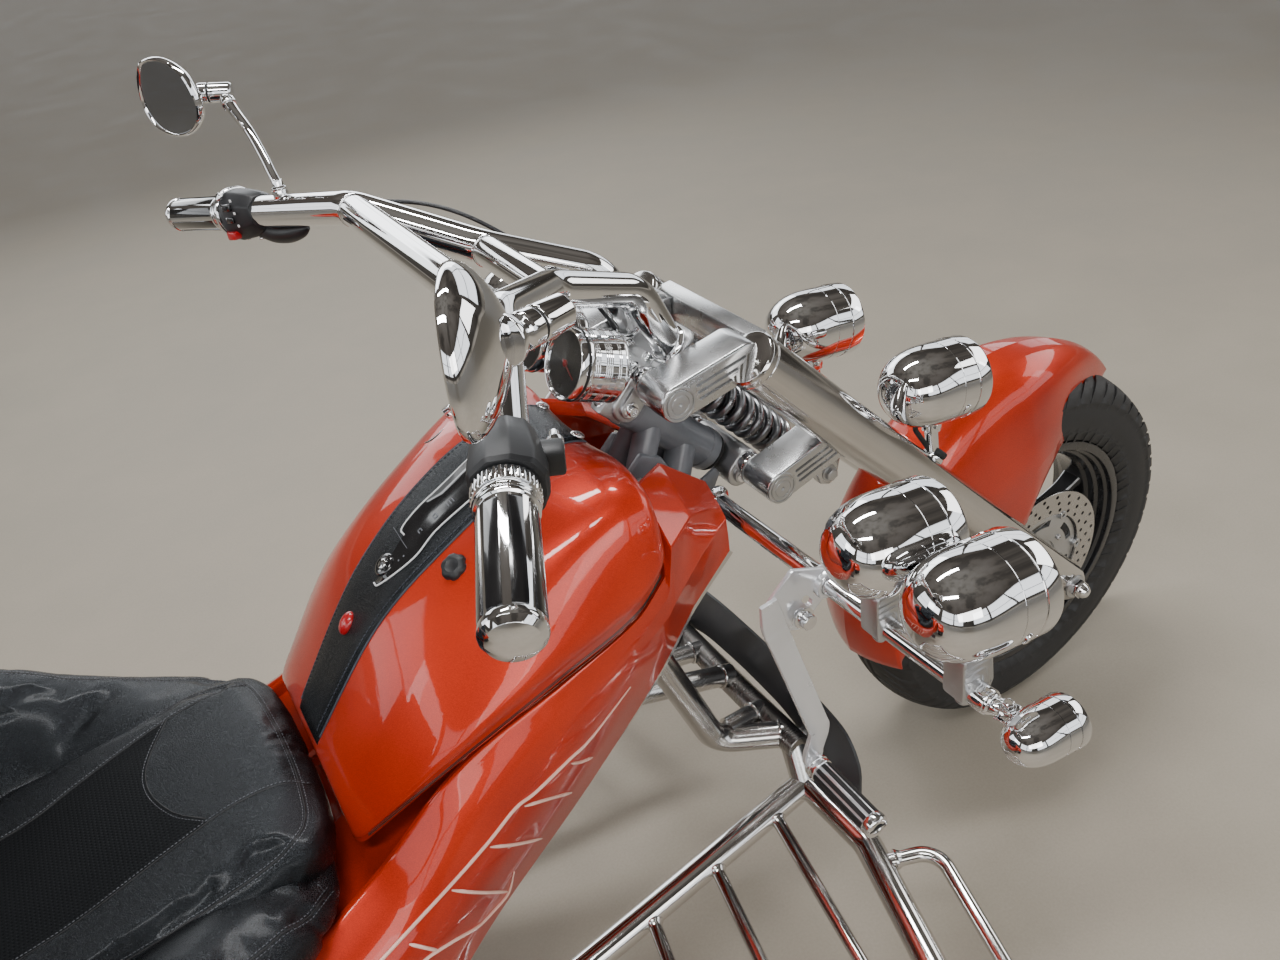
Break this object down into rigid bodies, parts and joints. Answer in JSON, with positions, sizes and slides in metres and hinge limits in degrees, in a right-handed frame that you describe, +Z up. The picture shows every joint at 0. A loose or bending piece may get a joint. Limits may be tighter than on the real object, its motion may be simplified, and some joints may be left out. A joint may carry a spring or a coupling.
{
  "type": "motor trike",
  "caption": "Three-wheeled motor trike with a long raked parallelogram fork, bullet lamps, low leather driver's seat and a wide rear body with a raised passenger seat.",
  "frame": {"origin": "middle of the footprint, on the ground", "axes": "+X forward, +Y to the rider's left, +Z up"},
  "size_m": [3.5698, 1.876, 1.2193],
  "materials": {
    "orange_paint": "metallic orange-red paint under clear coat",
    "dark_steel": "dark grey satin coated plate",
    "chrome": "mirror chrome",
    "polished_steel": "polished stainless tube",
    "alloy": "polished and brushed alloy",
    "black_rim": "black satin alloy rim",
    "disc_steel": "ground and drilled disc",
    "black_leather": "grained black leather with grey stitching",
    "black_plastic": "moulded black plastic",
    "tyre": "black tyre rubber with tread",
    "red_lens": "red lens",
    "engine_metal": "plain engine block",
    "spring_steel": "dark coil spring"
  },
  "bodies": {
    "front_wheel": {"front_tyre": "tyre", "front_rim": "black_rim", "front_brake_disc": "disc_steel"},
    "rear_wheel_left": {"rear_tyre_left": "tyre", "rear_rim_left": "alloy"},
    "rear_wheel_right": {"rear_tyre_right": "tyre", "rear_rim_right": "alloy"},
    "steering": {"front_axle": "chrome", "fork_tubes": "polished_steel", "upper_link": "alloy", "lower_link": "alloy", "steering_stem": "alloy", "shock_absorber": "spring_steel", "front_fender": "orange_paint", "handlebar": "chrome", "handlebar_clamp": "alloy", "grips": "chrome", "switch_housings": "black_plastic", "mirror_left": "chrome", "mirror_right": "chrome", "gauges": "chrome", "headlamps": "chrome", "brake_caliper": "alloy", "control_cable": "black_plastic"},
    "chassis": {"frame": "polished_steel", "rear_axle": "dark_steel", "engine_block": "engine_metal", "side_panels": "orange_paint", "fuel_tank": "orange_paint", "driver_seat": "black_leather", "driver_backrest": "black_leather", "passenger_seat": "black_leather", "passenger_backrest": "black_leather", "rear_body": "orange_paint", "rear_fenders": "orange_paint", "running_board_left": "polished_steel", "running_board_right": "polished_steel", "lamp_bar": "chrome", "bar_lamps": "chrome", "front_turn_signals": "chrome", "foot_pedals": "alloy", "front_shield": "dark_steel", "exhausts": "chrome", "tail_lights": "red_lens", "plate_holder": "black_plastic", "rear_bumper": "chrome", "tank_console": "black_leather", "fuel_cap": "chrome", "choke_knob": "black_plastic", "passenger_footboards": "dark_steel"}
  },
  "joints": [
    {"name": "steering", "type": "hinge", "parent": "chassis", "child": "steering", "pos_m": [0.767, 0, 0.873], "axis": [-0.694, 0, 0.72], "range_deg": [-28, 28]},
    {"name": "front_wheel_spin", "type": "hinge", "parent": "steering", "child": "front_wheel", "pos_m": [1.465, 0, 0.32], "axis": [0, 1, 0], "continuous": true},
    {"name": "rear_wheel_left_spin", "type": "hinge", "parent": "chassis", "child": "rear_wheel_left", "pos_m": [-0.955, 0.765, 0.338], "axis": [0, 1, 0], "continuous": true},
    {"name": "rear_wheel_right_spin", "type": "hinge", "parent": "chassis", "child": "rear_wheel_right", "pos_m": [-0.955, -0.765, 0.338], "axis": [0, 1, 0], "continuous": true}
  ]
}
